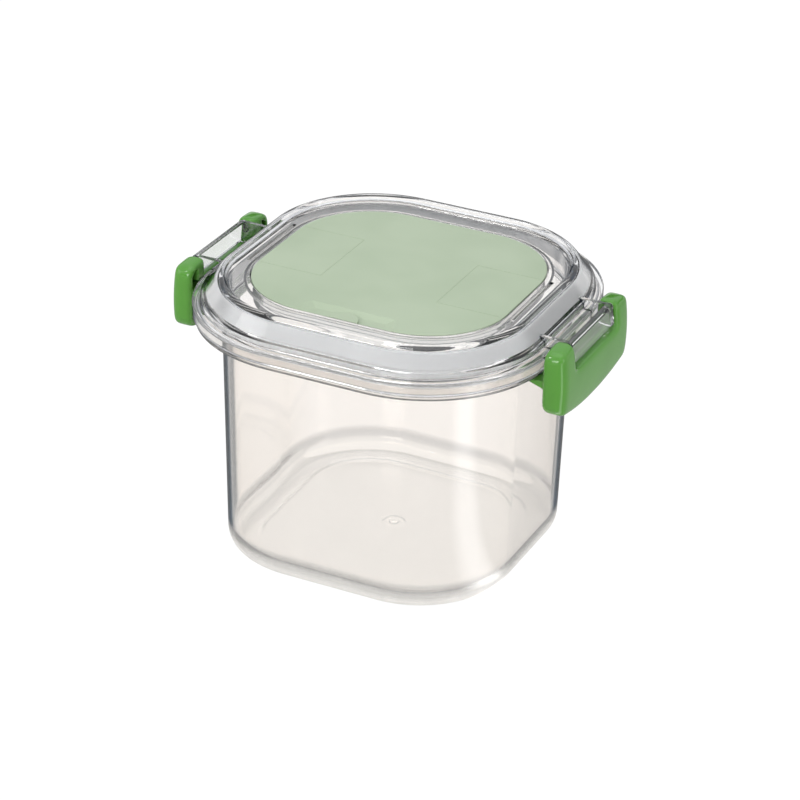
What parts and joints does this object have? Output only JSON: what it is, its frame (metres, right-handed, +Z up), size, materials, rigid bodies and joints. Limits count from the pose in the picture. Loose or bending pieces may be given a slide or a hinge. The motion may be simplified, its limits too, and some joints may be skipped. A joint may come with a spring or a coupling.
{
  "type": "food storage container",
  "caption": "Clear square-round food container with a gasketed snap lid, two hinged side latches and a lift-out cover over a shallow lid tray.",
  "frame": {"origin": "centre of the base, on the surface the container stands on", "axes": "+Z up, +X towards the right latch, -Y the front with the cover's finger scoop"},
  "size_m": [0.1472, 0.128, 0.1009],
  "materials": {
    "clear_san": "clear moulded styrene-acrylonitrile, high gloss",
    "silicone": "translucent milky silicone",
    "cover_plastic": "pale sage green polypropylene, fine matte texture",
    "latch_plastic": "leaf green moulded plastic, gloss"
  },
  "bodies": {
    "container": {"container": "clear_san"},
    "lid": {"lid": "clear_san", "gasket": "silicone"},
    "cover": {"cover": "cover_plastic"},
    "left_latch": {"left_latch": "latch_plastic"},
    "right_latch": {"right_latch": "latch_plastic"}
  },
  "joints": [
    {"name": "lid_lift", "type": "slide", "parent": "container", "child": "lid", "axis": [0, 0, 1], "range_m": [0, 0.06]},
    {"name": "cover_lift", "type": "slide", "parent": "lid", "child": "cover", "axis": [0, 0, 1], "range_m": [0, 0.03]},
    {"name": "left_latch_hinge", "type": "hinge", "parent": "lid", "child": "left_latch", "pos_m": [-0.0688, 0, 0.0932], "axis": [0, 1, 0], "range_deg": [0, 110]},
    {"name": "right_latch_hinge", "type": "hinge", "parent": "lid", "child": "right_latch", "pos_m": [0.0688, 0, 0.0932], "axis": [0, -1, 0], "range_deg": [0, 110]}
  ]
}
